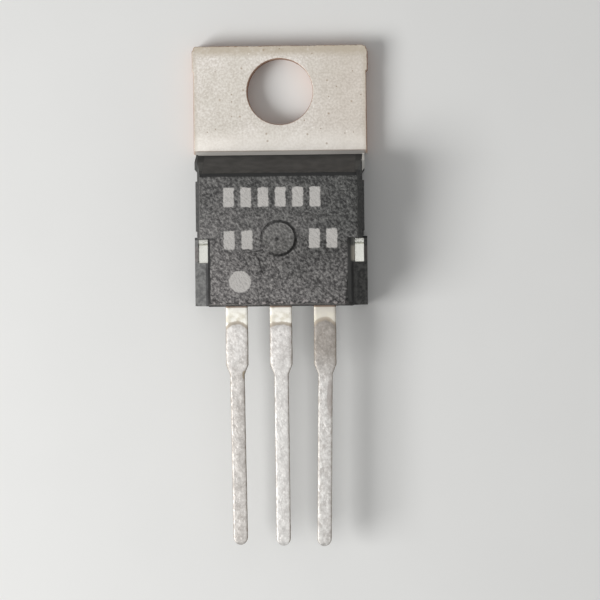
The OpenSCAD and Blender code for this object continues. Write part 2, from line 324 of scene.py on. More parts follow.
def grained_epoxy(finish):
    """Colour of the grained surfaces, and the grain itself."""
    grain = finish.cloud(GRAIN, 2, 0.7, finish.stretched((0.85, 1.1, 1), turn=45))
    # Painted light: the grain's colours run paler towards the lower left, nearer the lamp, and darker away
    # from it.
    drift = finish.maths("MULTIPLY_ADD", finish.x, -0.06, finish.maths("MULTIPLY", finish.y, -0.1))
    painted_light = finish.rise(finish.maths("ADD", drift, finish.cloud(2.5, 2)), 0.85, 2.05)
    pale = finish.blend(painted_light, linear(137, 137, 134), linear(196, 192, 189))
    dark = finish.blend(painted_light, linear(25, 25, 25), linear(79, 77, 77))
    # The grain's pale flecks are partly painted highlights, and its dark ones partly painted shade.
    colour = finish.blend(finish.rise(grain, 0.3, 0.95), dark, pale)
    blotch = finish.cloud(0.26, 3, 0.6)
    crumbled = finish.rise(finish.y, BODY_END + 0.45, BODY_END + 0.2)
    above_parting = finish.rise(finish.z, PARTING_Z, FRONT_Z)
    # Among the crumbs the colour is darker in some patches, and paler in others near the top.
    dark_crumbs = finish.both(crumbled, finish.rise(blotch, 0.5, 0.42), above_parting)
    colour = finish.veil(dark_crumbs, 0.65, colour, linear(36, 34, 34))
    pale_crumbs = finish.both(crumbled, finish.rise(blotch, 0.53, 0.6), finish.rise(finish.z, 4.0, 4.2))
    colour = finish.veil(pale_crumbs, 0.8, colour, linear(176, 168, 166))
    # Painted shade: a ragged dark line along the front's right edge beside the right slot.
    border = finish.maths("MULTIPLY_ADD", blotch, 0.3, finish.x)
    border = finish.maths("MULTIPLY_ADD", finish.y, -0.09, border)
    below_pocket = finish.rise(finish.y, POCKET_Y + 0.3, POCKET_Y - 0.1)
    edge_shade = finish.both(finish.rise(border, 5.0, 5.06), below_pocket)
    colour = finish.veil(edge_shade, 0.85, colour, linear(30, 30, 29))
    return colour, grain


print("grain of", GRAIN, "mm on a front at", round(FRONT_Z, 2), "mm")

# %% [markdown]
# The front carries the round mark of the pin that pushed the part out of its mould: a shallow disc in a
# groove, filled at the lower left. The groove is painted dark with dirt, and darker on its right side as
# painted shade. A few scratches run below it.
# Pale ink stands on the front in plain worn blocks and a dot. Each is a distance from a simple shape,
# roughened with noise before it becomes a mask, so that the ink's edge follows the grain. A row has a
# left and a right end, a lower and an upper border and a number of blocks.

# %% Marks on the front
MARK_Y = -8.55
MARK_RADIUS = 1.04
SHADED_SIDE = (0.97, -0.26)
FILLED_SIDE = (-0.77, -0.64)
PIP = (-0.10, -8.60)
SCRATCHES = [((-1.13, -9.73), (-0.95, -10.50)), ((-1.28, -10.53), (-0.81, -10.39)),
             ((-1.31, -9.30), (-0.92, -9.21))]
INK_ROWS = [(-3.35, 2.60, -6.75, -5.62, 6), (-3.35, -1.30, -9.18, -8.10, 2), (1.55, 3.55, -9.12, -8.00, 2)]
INK_DOT = (-2.24, -11.02, 0.62)
BLOCK_HALF = 0.31
BLOCK_ROUND = 0.18


def distance_from(finish, x, y):
    """How far a place lies from x, y, seen from above."""
    across = finish.maths("SUBTRACT", finish.x, x)
    along = finish.maths("SUBTRACT", finish.y, y)
    square = finish.maths("MULTIPLY_ADD", along, along, finish.maths("MULTIPLY", across, across))
    return finish.maths("SQRT", square)


def leaning(finish, x, y, along, across):
    """How far a place lies from x, y in the direction (along, across)."""
    first = finish.maths("MULTIPLY", finish.maths("SUBTRACT", finish.x, x), along)
    return finish.maths("MULTIPLY_ADD", finish.maths("SUBTRACT", finish.y, y), across, first)


def scratch(finish, start, end, width):
    """One where a thin line was drawn from start to end."""
    run = (end[0] - start[0], end[1] - start[1])
    length = math.hypot(*run)
    aside = leaning(finish, *start, -run[1] / length, run[0] / length)
    ahead = leaning(finish, *start, run[0] / length, run[1] / length)
    off_end = finish.maths("SUBTRACT", finish.away_from(ahead, length / 2), length / 2)
    far = finish.maths("MAXIMUM", off_end, finish.maths("ABSOLUTE", aside))
    return finish.rise(far, width, 0.3 * width)


def off_blocks(finish, left, right, low, high, count):
    """Distance from a row of equal blocks that fills a field."""
    pitch = (right - left) / count
    cell = finish.maths("FRACT", finish.maths("DIVIDE", finish.maths("SUBTRACT", finish.x, left), pitch))
    aside = finish.maths("MULTIPLY_ADD", finish.away_from(cell, 0.5), pitch, -BLOCK_HALF * pitch)
    beyond = finish.maths("SUBTRACT", finish.away_from(finish.x, (left + right) / 2), (right - left) / 2)
    above = finish.maths("SUBTRACT", finish.away_from(finish.y, (low + high) / 2), (high - low) / 2)
    return finish.maths("MAXIMUM", beyond, finish.maths("SMOOTH_MAX", aside, above, BLOCK_ROUND))


def ink_mask(finish):
    """One on the blocks and the dot, with a ragged border."""
    far = finish.maths("SUBTRACT", distance_from(finish, *INK_DOT[:2]), INK_DOT[2])
    for row in INK_ROWS:
        far = finish.maths("MINIMUM", far, off_blocks(finish, *row))
    ragged = finish.maths("MULTIPLY_ADD", finish.cloud(0.18, 2), 0.16, finish.maths("ADD", far, -0.08))
    return finish.rise(ragged, 0.035, -0.035)


def marked(finish, colour):
    """Adds the pin's mark, the scratches and the ink, and returns the mask of what is cut in as well."""
    from_mark = distance_from(finish, 0, MARK_Y)
    disc = finish.rise(from_mark, MARK_RADIUS - 0.12, MARK_RADIUS - 0.2)
    colour = finish.veil(disc, 0.2, colour, linear(132, 131, 127))
    ring = finish.rise(finish.away_from(from_mark, MARK_RADIUS - 0.06), 0.11, 0.05)
    # The ring is painted dark with dirt, and darker towards its right side as painted shade.
    dirt_and_shade = finish.rise(leaning(finish, 0, MARK_Y, *SHADED_SIDE), -1.2, 0.5, 0.4, 0.85)
    filled = finish.rise(leaning(finish, 0, MARK_Y, *FILLED_SIDE), 0.98, 0.84)
    colour = finish.blend(finish.both(ring, dirt_and_shade, filled), colour, linear(20, 20, 20))
    pip = finish.rise(distance_from(finish, *PIP), 0.15, 0.07)
    colour = finish.veil(pip, 0.8, colour, linear(34, 34, 34))
    cut = pip
    for start, end in SCRATCHES:
        line = scratch(finish, start, end, 0.06)
        colour = finish.veil(line, 0.7, colour, linear(44, 43, 43))
        cut = finish.maths("MAXIMUM", cut, line)
    patchy = finish.rise(finish.cloud(0.22, 3), 0.25, 0.5, 0.75, 0.96)
    on_top = finish.rise(finish.z, FRONT_Z - 0.1, FRONT_Z - 0.06)
    ink = finish.both(ink_mask(finish), patchy, on_top)
    return finish.blend(ink, colour, linear(190, 187, 183)), cut


print("ink rows:", len(INK_ROWS), "and one dot")

# %% [markdown]
# The smooth surfaces are told apart by place, with out as the distance from the middle plane. The flat
# ledge at the foot of the slant is painted pale grey, a painted highlight. So are, on the right, the rim
# along the parting line and the edge of the slant beside it, and on the left both stay dark: a place lies
# on the slant if its distance from the slant's plane is nearly zero. The slant's upper end is painted
# near black as painted shade. The walls of the slots carry painted shade, the left one almost black with
# painted shadow in the crease under it and the right one dark grey, but where the right one faces the
# bright metal in its pocket it carries a warm, pale painted reflection of it. The flanges under the slots
# are matt, the left one painted paler than the right as painted light from the lamp on the left, and the
# outer edge of the right one is rubbed pale.

# %% Finish of the moulding
FACE_OUT = 4.4
RIM_OUT = 4.7
FLANGES = (1.42, 2.05)


def flange_tops(finish, colour, left):
    """Adds the matt flanges under the slots, and returns their mask as well."""
    behind_slots = finish.rise(finish.y, SLOT_Y + 0.1, SLOT_Y + 0.04)
    low = finish.both(finish.band(finish.z, *FLANGES, 0.04), behind_slots)
    patches = finish.rise(finish.cloud(0.22, 3, 0.6), 0.35, 0.65)
    # Painted light: the left flange is painted paler than the right one, and the right one darker as shade.
    dark = finish.blend(left, linear(36, 36, 35), linear(66, 66, 65))
    pale = finish.blend(left, linear(88, 88, 86), linear(104, 104, 102))
    return finish.blend(low, colour, finish.blend(patches, dark, pale)), low


def slant_borders(finish, colour, out):
    """Adds painted highlights on the ledge, the rim and the lower edges of the slant, the walls beside it and
    painted shade at its upper end.
    """
    run, climb = SLANT_FOOT_Y - SLANT_TOP_Y, FRONT_Z - LEDGE_Z
    length = math.hypot(run, climb)
    over_ledge = finish.maths("SUBTRACT", finish.z, LEDGE_Z)
    past_foot = finish.maths("SUBTRACT", finish.y, SLANT_FOOT_Y)
    off_slant = finish.maths("MULTIPLY", over_ledge, run / length)
    off_slant = finish.maths("MULTIPLY_ADD", past_foot, climb / length, off_slant)
    on_slant = finish.rise(finish.maths("ABSOLUTE", off_slant), 0.05, 0.03)
    tab_end = finish.rise(finish.y, SLANT_TOP_Y - 0.02, SLANT_TOP_Y + 0.02)
    foot = finish.both(finish.band(finish.z, LEDGE_Z - 0.03, LEDGE_Z + 0.02, 0.015),
                       finish.rise(finish.y, SLANT_FOOT_Y - 0.05, SLANT_FOOT_Y - 0.01))
    # Painted highlight: the ledge at the slant's foot is pale grey, palest on the left.
    ledge = finish.blend(finish.rise(finish.x, 1.5, 4), linear(180, 176, 170), linear(160, 156, 151))
    colour = finish.blend(foot, colour, ledge)
    near_rim = finish.rise(finish.z, PARTING_Z + 0.3, PARTING_Z)
    edge = finish.both(on_slant, finish.rise(out, RIM_OUT + 0.04, RIM_OUT + 0.08), near_rim)
    rim = finish.both(finish.band(finish.z, PARTING_Z - 0.04, PARTING_Z + 0.015, 0.015),
                      finish.rise(out, RIM_OUT - 0.02, RIM_OUT + 0.02))
    # Painted highlight: the rim and the slant's edge are pale on the right and stay dark on the left.
    painted_highlight = finish.blend(finish.rise(finish.x, -1, 1), linear(72, 72, 70), linear(222, 220, 214))
    colour = finish.blend(finish.both(finish.maths("MAXIMUM", edge, rim), tab_end), colour, painted_highlight)
    over_rim = finish.rise(finish.z, PARTING_Z + 0.05, PARTING_Z + 0.15)
    beside_slant = finish.rise(finish.y, SLANT_TOP_Y - 0.1, SLANT_TOP_Y + 0.1)
    cheek = finish.both(finish.rise(out, FACE_OUT - 0.04, FACE_OUT + 0.02), over_rim, beside_slant,
                        finish.rise(out, RIM_OUT + 0.04, RIM_OUT))
    colour = finish.blend(cheek, colour, linear(62, 62, 60))
    # Painted shade: a near-black band across the upper end of the slant, under the front's edge.
    top = finish.both(finish.band(finish.y, SLANT_TOP_Y - 0.3, SLANT_TOP_Y + 0.16, 0.05),
                      finish.rise(finish.z, 3.0, 3.2))
    return finish.blend(top, colour, linear(7, 7, 7))


def slot_walls(finish, colour, out, left, low):
    """Adds painted shade on the walls of the slots and in a crease under the left one, and returns the walls'
    mask as well.
    """
    limit = finish.maths("MULTIPLY_ADD", finish.x, -0.032, 4.21)
    inside = finish.rise(finish.maths("SUBTRACT", out, limit), 0.02, -0.02)
    in_slot = finish.rise(finish.y, SLOT_Y + 0.02, SLOT_Y - 0.04)
    deep = finish.both(in_slot, finish.rise(finish.z, 1.9, 2.1), inside)
    # Painted shade on the slots' walls: almost black on the left, dark grey on the right.
    colour = finish.blend(deep, colour, finish.blend(left, linear(66, 66, 65), linear(12, 12, 12)))
    # Painted shadow in the crease at the foot of the left slot's wall.
    crease = finish.both(low, finish.rise(finish.x, -4.40, -4.32), left)
    return finish.blend(crease, colour, linear(6, 6, 6)), deep


def pocket_sides(finish, colour, out):
    """Adds a painted reflection on the wall over the right pocket, the flanges beside the pockets and the
    right flange's edge.
    """
    beside = finish.band(finish.y, POCKET_Y + 0.08, SLOT_Y - 0.45, 0.08)
    # Painted reflection: the right slot's wall is warm and pale where it faces the metal in its pocket.
    metal_reflection = finish.both(beside, finish.rise(finish.z, 3.6, 1.6), finish.rise(finish.z, 1.1, 1.2),
                        finish.rise(out, FACE_OUT + 0.1, FACE_OUT), finish.rise(finish.x, 0, 0.1))
    colour = finish.blend(metal_reflection, colour, linear(176, 168, 152))
    outer = finish.both(beside, finish.rise(out, RIM_OUT - 0.1, RIM_OUT), finish.rise(finish.z, 1.3, 1.4))
    colour = finish.veil(outer, 0.4, colour, linear(104, 92, 88))
    brim = finish.both(finish.rise(finish.x, 5.0, 5.05), finish.rise(finish.z, 1.36, 1.42),
                       finish.rise(finish.cloud(0.5, 3), 0.35, 0.55))
    return finish.veil(brim, 0.7, colour, linear(140, 138, 132))


def smooth_epoxy(finish, out):
    """Colour of the polished surfaces, and the mask of the slots' walls."""
    mottled = finish.rise(finish.cloud(0.3, 5, 0.7), 0.38, 0.66)
    colour = finish.blend(mottled, linear(1, 1, 2), linear(28, 28, 30))
    left = finish.rise(finish.x, 1, -1)
    colour, low = flange_tops(finish, colour, left)
    colour = slant_borders(finish, colour, out)
    colour, deep = slot_walls(finish, colour, out, left, low)
    return pocket_sides(finish, colour, out), deep


def moulding_finish():
    """One material for the whole moulding, with the grained surfaces laid over the smooth ones."""
    finish = Finish("black_epoxy", Specular_IOR_Level=0.37)
    out = finish.maths("ABSOLUTE", finish.x)
    behind = finish.rise(finish.y, SLANT_TOP_Y - 0.14, SLANT_TOP_Y - 0.24)
    top = finish.rise(finish.z, FRONT_Z - 0.35, FRONT_Z - 0.25)
    end_wall = finish.rise(finish.y, BODY_END + 0.2, BODY_END + 0.15)
    off_flanges = finish.maths("MAXIMUM", finish.rise(finish.y, SLOT_Y - 0.02, SLOT_Y + 0.02),
                               finish.rise(finish.z, 2.1, 2.2))
    upright = finish.maths("MAXIMUM", finish.rise(out, FACE_OUT - 0.05, FACE_OUT), end_wall)
    wall = finish.both(finish.rise(finish.z, 0.05, 0.2), off_flanges, upright)
    rough_cast = finish.both(behind, finish.maths("MAXIMUM", top, wall))
    grained, grain = grained_epoxy(finish)
    grained, cut = marked(finish, grained)
    below_edge = finish.both(end_wall, finish.rise(finish.z, FRONT_Z - 0.9, FRONT_Z - 1.3))
    side = finish.rise(out, FACE_OUT + 0.1, FACE_OUT + 0.2)
    shaded = finish.both(wall, finish.maths("MAXIMUM", side, below_edge),
                         finish.rise(grain, 0.65, 0.35, 0.6, 0.85))
    grained = finish.blend(shaded, grained, linear(20, 20, 20))
    # Painted shade: below the parting line the walls are painted darker still.
    lower_half = finish.both(wall, finish.rise(finish.z, PARTING_Z + 0.04, PARTING_Z - 0.02, 0.0, 0.6))
    grained = finish.blend(lower_half, grained, linear(22, 22, 22))
    smooth, deep = smooth_epoxy(finish, out)
    colour = finish.blend(rough_cast, smooth, grained)
    rough = finish.rise(finish.cloud(0.6, 3), 0.3, 0.7, 0.42, 0.52)
    for mask, more in ((rough_cast, 0.15), (wall, 0.15), (deep, 0.5)):
        rough = finish.maths("MULTIPLY_ADD", mask, more, rough)
    finish.relief(finish.cloud(0.35, 4, 0.6), 0.022, 0.6)
    finish.relief(finish.both(grain, rough_cast), 0.06)
    finish.relief(finish.maths("SUBTRACT", 1.0, cut), 0.03, 0.9)
    return finish.use(Base_Color=colour, Roughness=rough)


epoxy = moulding_finish()
print("finish:", epoxy.name)

# %% [markdown]
# The header is copper with matt nickel over it. The plating was there before the strip was cut, so the
# sheared sides and the wall of the hole show copper through smears of nickel. On the face there are soft
# warm clouds, a fine grain, brown specks and pale ones. The plating is painted darker towards the right,
# as painted shade, and it is duller along the free edges. The masks of the sheared sides and the tired
# edges are painted on the mesh, point by point. The metal in the pockets is smoother and cleaner, and its
# colour is painted paler as a stand-in for the bright reflection it shows. Each kind of speck has a
# spacing, a radius, a share, a strength and a tint.

# %% Finish of the plated header
JOINT_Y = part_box("molded_body")[1].y / MM
TAB_TOP = 1.27
SPECKS = [(1.3, 0.08, 0.45, 0.5, linear(150, 130, 106)), (0.47, 0.05, 0.07, 0.6, linear(140, 120, 98)),
          (0.9, 0.06, 0.3, 0.35, linear(246, 244, 240))]


def header_finish():
    """Nickel on the face, and copper under smears of nickel on what was sheared."""
    finish = Finish("matt_nickel", Metallic=1.0)
    out = finish.maths("ABSOLUTE", finish.x)
    clouds = finish.rise(finish.cloud(2.6, 3, 0.55), 0.36, 0.64)
    grain = finish.cloud(0.125, 2, 0.6)
    plate = finish.blend(clouds, linear(212, 208, 201), linear(222, 218, 213))
    # Painted shade: the plating is painted darker towards the right, away from the lamp.
    shade_to_right = finish.rise(finish.maths("ADD", finish.x, finish.cloud(1.2, 3)), 0.5, 5.0)
    plate = finish.veil(shade_to_right, 0.45, plate, linear(192, 182, 170))
    plate = finish.blend(finish.rise(grain, 0.3, 0.7, 0.6, 0.0), plate, linear(184, 176, 166))
    lower = finish.rise(finish.y, -1.8, -3.2)
    plate = finish.veil(lower, 0.6, plate, linear(238, 234, 228))
    tired = finish.both(finish.drawn("tired"), finish.rise(finish.cloud(0.35, 3), 0.05, 0.5))
    plate = finish.veil(tired, 0.8, plate, linear(181, 171, 155))
    for spacing, radius, share, strength, tint in SPECKS:
        spots = finish.specks(spacing, radius, share)
        plate = finish.veil(spots, strength, plate, tint)
    at_joint = finish.rise(finish.y, JOINT_Y + 0.09, JOINT_Y + 0.04)
    foot = finish.both(at_joint, finish.rise(finish.z, TAB_TOP - 0.07, TAB_TOP - 0.02))
    plate = finish.veil(foot, 0.6, plate, linear(150, 132, 120))
    # The pocket's metal is smoother, and painted paler as a stand-in for the bright reflection it shows.
    pocket = finish.both(finish.rise(out, 3.9, 4.0), finish.band(finish.y, POCKET_Y, SLOT_Y, 0.05))
    plate = finish.blend(pocket, plate, linear(230, 230, 223))
    torn = finish.rise(finish.cloud(0.07, 3, 0.6, finish.stretched((1, 1, 0.3))), 0.3, 0.7)
    copper = finish.blend(torn, linear(146, 103, 80), linear(166, 124, 101))
    streaks = finish.cloud(0.3, 4, 0.7, finish.stretched((1, 1, 0.5)))
    ragged = finish.maths("MULTIPLY_ADD", streaks, 1.1, finish.z)
    smears = finish.both(finish.rise(ragged, 1.1, 1.5, 0.15, 0.75),
                         finish.rise(finish.z, TAB_TOP - 0.03, TAB_TOP - 0.07, 0.4, 1.0))
    copper = finish.blend(smears, copper, linear(182, 164, 148))
    colour = finish.blend(finish.drawn("sheared"), plate, copper)
    rough = finish.rise(finish.cloud(0.8, 3), 0.3, 0.7, 0.63, 0.72)
    rough = finish.maths("SUBTRACT", rough, finish.maths("MULTIPLY", pocket, 0.48))
    finish.relief(finish.cloud(0.9, 2), 0.01, 0.6)
    finish.relief(grain, 0.008, 0.8)
    return finish.use(Base_Color=colour, Roughness=rough)


nickel = header_finish()
print("finish:", nickel.name)

# %% [markdown]
# Each lead has three stretches. Beside the moulding the old plating is smooth and cream-coloured. Then
# comes the front of the solder dip, a thin brown arc that bulges towards the moulding because the solder
# climbed highest in the middle. From there to the tip the solder is frosty and blotchy, with painted
# highlights on the frost's high points, darker along the rims where the coat ran thin, and the left lead
# has a worn patch. The right lead has a grey patch of painted shade instead, and its upper stretch and its
# bare plating are painted darker, as painted shade where the light falls off to the right. The pattern is
# written in millimetres across and along a lead, so each lead gets its own recipe, centred on its root.

# %% Finish of the leads
PITCH = 2.54
ARCS = {"base_lead": (0.92, 0.75), "collector_lead": (0.98, 0.25), "emitter_lead": (0.74, 0.85)}
STRETCHES = (2.4, 4.6)


def solder_colour(finish, frost, blotch, light, dull, shine):
    """Light and dull blotches, with painted highlights on the frost's high points and painted shade on its
    low ones.
    """
    colour = finish.blend(blotch, light, dull)
    colour = finish.blend(finish.rise(frost, 0.5, 0.75, 0, 0.6), colour, shine)
    return finish.blend(finish.rise(frost, 0.45, 0.25, 0, 0.45), colour, dull)


def lead_finish(name, across, arc, bow, bare, upper, lower, patch=None):
    """arc is the distance from the moulding to the solder, and bow how far its edges lag."""
    finish = Finish(name, middle=(across, BODY_END, 0), Metallic=1.0)
    away = finish.maths("MULTIPLY", finish.y, -1)
    wobble = finish.maths("MULTIPLY_ADD", finish.cloud(0.4, 3), 0.22, -0.11)
    lag = finish.maths("MULTIPLY", finish.maths("MULTIPLY", finish.x, finish.x), bow)
    past = finish.maths("SUBTRACT", finish.maths("ADD", away, wobble), finish.maths("ADD", lag, arc))
    coated = finish.rise(past, -0.05, 0.06)
    thick = finish.rise(past, 0.0, 0.45)
    line = finish.rise(finish.maths("ABSOLUTE", past), 0.16, 0.05)
    drawn_out = finish.stretched((1, 0.85, 1), (across, 3, 0))
    blotch = finish.rise(finish.cloud(0.3, 4, 0.7, drawn_out), 0.3, 0.72)
    frost = finish.cloud(0.13, 2, 0.6)
    high = solder_colour(finish, frost, blotch, *upper)
    thin = solder_colour(finish, frost, blotch, *lower)
    colour = finish.blend(finish.rise(away, *STRETCHES), high, thin)
    cream = finish.blend(finish.rise(finish.cloud(0.4, 2), 0.4, 0.7), bare, linear(216, 211, 198))
    colour = finish.blend(coated, cream, colour)
    stain = finish.blend(finish.cloud(0.2, 2), linear(152, 140, 124), linear(182, 172, 158))
    colour = finish.veil(line, 0.85, colour, stain)
    # The left lead's patch is worn plating. The right lead's grey patch is painted shade.
    if patch:
        left, along, wide, long, tint = patch
        aside = finish.maths("DIVIDE", finish.maths("SUBTRACT", finish.x, left), wide)
        down = finish.maths("DIVIDE", finish.maths("SUBTRACT", away, along), long)
        far = finish.maths("MULTIPLY_ADD", down, down, finish.maths("MULTIPLY", aside, aside))
        wear_and_shade = finish.rise(finish.maths("ADD", far, finish.cloud(0.2, 3)), 1.5, 1.0)
        colour = finish.veil(wear_and_shade, 0.85, colour, tint)
    rim = finish.both(finish.drawn("rim"), coated, finish.rise(finish.cloud(0.2, 2), 0.35, 0.6, 0.3, 0.9))
    colour = finish.blend(rim, colour, linear(150, 140, 128))
    root = finish.rise(away, 0.10, 0.02)
    colour = finish.veil(root, 0.8, colour, linear(104, 72, 50))
    rough = finish.rise(finish.cloud(0.3, 3), 0.3, 0.7, 0.36, 0.56)
    rough = finish.maths("MULTIPLY_ADD", finish.drawn("rim"), 0.3, rough)
    finish.relief(finish.both(finish.cloud(0.22, 3, 0.6), thick), 0.024, 0.8)
    finish.relief(finish.both(frost, thick), 0.018, 0.8)
    return finish.use(Base_Color=colour, Roughness=rough)


lead_finishes = {
    "base_lead": lead_finish(
        "solder_left", -PITCH, *ARCS["base_lead"], linear(242, 240, 232),
        (linear(222, 219, 216), linear(188, 184, 180), linear(234, 232, 229)),
        (linear(204, 200, 196), linear(170, 165, 160), linear(220, 217, 213)),
        (0.42, 3.95, 0.14, 0.3, linear(150, 138, 116))),
    "collector_lead": lead_finish(
        "solder_middle", 0.0, *ARCS["collector_lead"], linear(242, 239, 231),
        (linear(219, 216, 213), linear(182, 178, 175), linear(232, 230, 227)),
        (linear(216, 214, 211), linear(192, 189, 186), linear(228, 226, 223))),
    # The right lead's upper stretch and bare plating are painted darker than the others', as painted shade.
    "emitter_lead": lead_finish(
        "solder_right", PITCH, *ARCS["emitter_lead"], linear(210, 205, 195),
        (linear(162, 156, 150), linear(139, 133, 127), linear(179, 173, 167)),
        (linear(210, 208, 205), linear(174, 170, 166), linear(226, 224, 221)),
        (0.26, 5.3, 0.2, 1.3, linear(164, 158, 154))),
}
print("lead finishes:", ", ".join(lead_finishes))

# %% [markdown]
# The frame's own solids are exact but knife-edged, and they arrive as loose triangles. A copy whose
# triangles are merged and dissolved back into flat faces can be bevelled and cut like any hand-made mesh.
# Edges where two pieces meet stay sharp, because a radius there would open a gap: a search tree over each
# neighbour tells which edges lie on one. What is bevelled is what a fingertip could touch.

# %% Copy a solid and find its free edges
CLOSE = 0.002 * MM


def solid_copy(node):
    """A mesh under construction that starts as a cleaned copy of a CAD node."""
    bm = bmesh.new()
    bm.from_mesh(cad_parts[node].data)
    bmesh.ops.remove_doubles(bm, verts=bm.verts, dist=CLOSE)
    bmesh.ops.dissolve_limit(bm, angle_limit=math.radians(0.5), verts=bm.verts, edges=bm.edges)
    return bm


def surface_of(node):
    """A search tree over the faces of a CAD node."""
    bm = bmesh.new()
    bm.from_mesh(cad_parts[node].data)
    tree = BVHTree.FromBMesh(bm)
    bm.free()
    return tree


surfaces = {node: surface_of(node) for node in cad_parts}


def free_edges(bm, node, angle=20.0, chosen=lambda middle: True):
    """Edges that are sharper than the angle and lie on no other piece."""
    found = []
    for edge in bm.edges:
        middle = (edge.verts[0].co + edge.verts[1].co) / 2
        if edge.calc_face_angle(0) < math.radians(angle) or not chosen(middle):
            continue
        gaps = (tree.find_nearest(middle)[3] for other, tree in surfaces.items() if other != node)
        if min(gaps) > CLOSE:
            found.append(edge)
    return found


def soften(bm, edges, radius):
    """Rounds the edges in two steps."""
    bmesh.ops.bevel(bm, geom=edges, offset=radius, affect="EDGES", segments=2, profile=0.5,
                    material=-1, clamp_overlap=True)


def cut_at(bm, chosen, normal, places):
    """Cuts the chosen faces with parallel planes at these places along the normal."""
    for place in places:
        faces = [face for face in bm.faces if chosen(face)]
        edges = {edge for face in faces for edge in face.edges}
        verts = {vert for face in faces for vert in face.verts}
        bmesh.ops.bisect_plane(bm, geom=[*faces, *edges, *verts], dist=0.05 * CLOSE,
                               plane_co=Vector(normal) * place, plane_no=normal)


def ramp(value, low, high):
    """Runs from 0 to 1 as the value goes from low to high."""
    return min(1.0, max(0.0, (value - low) / (high - low)))


def steps(low, high, pitch):
    """The middles of equal steps of about one pitch from low to high."""
    count = max(1, round((high - low) / pitch))
    return [low + (high - low) * (index + 0.5) / count for index in range(count)]


def finish_piece(bm, name, material, slot, *nodes, smooth=35.0):
    """Turns the mesh into a piece of the part that stands for these nodes."""
    for face in bm.faces:
        face.smooth = True
    for edge in bm.edges:
        edge.smooth = edge.calc_face_angle(math.pi) < math.radians(smooth)
    mesh = bpy.data.meshes.new(name)
    bm.to_mesh(mesh)
    bm.free()
    mesh.materials.clear()
    mesh.materials.append(material)
    piece = bpy.data.objects.new(name, mesh)
    bpy.context.collection.objects.link(piece)
    even = piece.modifiers.new("even_shading", "WEIGHTED_NORMAL")
    even.keep_sharp = True
    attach(piece, "root")
    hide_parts(*nodes)
    mesh.calc_loop_triangles()
    print(name, "has", len(mesh.loop_triangles), "triangles")


print("search trees:", len(surfaces))

# %% [markdown]
# The moulding keeps the frame's shape, gets a small radius on its outer edges, and then a real uneven
# surface on its front. Nothing on a moulded face is quite straight: the front is cut into a fine grid
# and its points are shifted by smooth noise. Along the edge over the leads the epoxy has crumbled, so
# there the noise is stronger and takes away material, and a little of it along the side edges too. The
# ring of the ejector mark is already in the solid and is only filled a little at its lower left.

# %% Shape the moulding
EDGE = 0.05 * MM
FINE_EDGE = 0.015 * MM
GRID = 0.12 * MM
FRONT_HALF = 4.6 * MM
FRONT_START = -4.8 * MM
MARK_CLEAR = 1.2 * MM
CRUMBLED = 0.6 * MM
CRUMB_DOWN = 0.26 * MM
CRUMB_BACK = 0.18 * MM
CRUMB_SIDE = 0.12 * MM
FILLING = 0.075 * MM
WAVE = 0.012


def shape_moulding():
    """The solid with soft edges and an uneven, crumbled front."""
    bm = solid_copy("molded_body")
    low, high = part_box("molded_body")
    top, end = high.z, low.y
    mark = Vector((0, MARK_Y * MM, top))

    def on_ledges(middle):
        level = min(abs(middle.z / MM - LEDGE_Z), abs(middle.z / MM - PARTING_Z))
        return level < 0.06 and middle.y > (SLANT_TOP_Y - 0.1) * MM

    def elsewhere(middle):
        return (middle - mark).length > MARK_CLEAR and not on_ledges(middle)

    outer = free_edges(bm, "molded_body", chosen=elsewhere)
    print("outer edges to soften:", len(outer))
    soften(bm, outer, EDGE)
    soften(bm, free_edges(bm, "molded_body", angle=40, chosen=on_ledges), FINE_EDGE)

    def front(face):
        return face.calc_center_median().z > top - 0.1 * MM and face.normal.z > 0.3

    cut_at(bm, front, (1, 0, 0), steps(-FRONT_HALF, FRONT_HALF, GRID))
    cut_at(bm, front, (0, 1, 0), steps(end + CRUMBLED, FRONT_START, GRID))
    cut_at(bm, front, (0, 1, 0), steps(end, end + CRUMBLED, GRID / 3))
    for vert in bm.verts:
        here = vert.co / MM
        flat = Vector((here.x, here.y, 0))
        from_mark = (vert.co - mark).xy.length / MM
        near_ring = abs(from_mark - MARK_RADIUS + 0.07) < 0.12
        if near_ring and FRONT_Z - 0.12 < here.z < FRONT_Z - 0.05:
            toward = (FILLED_SIDE[0] * here.x + FILLED_SIDE[1] * (here.y - MARK_Y)) / from_mark
            vert.co.z += FILLING * ramp(toward, 0.2, 0.9)
            continue
        if here.z < FRONT_Z - 0.15:
            continue
        vert.co.z -= (WAVE + WAVE * noise.noise(flat * 1.1)) * MM
        near_end = ramp(end + CRUMBLED - vert.co.y, 0, CRUMBLED - 0.15 * MM)
        if here.y < SLOT_Y:
            near_side = 0.6 * ramp(abs(here.x), 3.55, 3.9) * ramp(SLOT_Y - here.y, 0.1, 0.7)
        else:
            near_side = 0.35 * ramp(abs(here.x), 4.2, 4.5)
        crumb = max(0.0, noise.noise(flat * 2.6) + 0.5 * noise.noise(flat * 6.3) + 0.22)
        vert.co.z -= CRUMB_DOWN * crumb * max(near_end, near_side)
        vert.co.y += CRUMB_BACK * crumb * near_end
        if here.y < SLOT_Y:
            vert.co.x -= math.copysign(CRUMB_SIDE * crumb * near_side, here.x)
    return bm


bm = shape_moulding()
finish_piece(bm, "moulding", epoxy, "moulding", "molded_body")

# %% [markdown]
# The header shows as the bare tab, the flat back and two slivers in the side pockets. It was punched
# from strip, so its upper edges are slightly rounded and its outline is a little ragged, most of all at
# the free end. The middle lead belongs to the same stamping, but it is finished as the other leads are,
# so the copy is cut off inside the moulding and the lead becomes a piece of its own.

# %% Shape the header
LEAD_CUT = BODY_END + 0.4
TAB_EDGE = 0.045 * MM
TAB_HALF = 5.1 * MM
TAB_GRID = 0.1 * MM
NEAR_HOLE = 1.95
RAGGED_END = 0.07 * MM
RAGGED_SIDE = 0.035


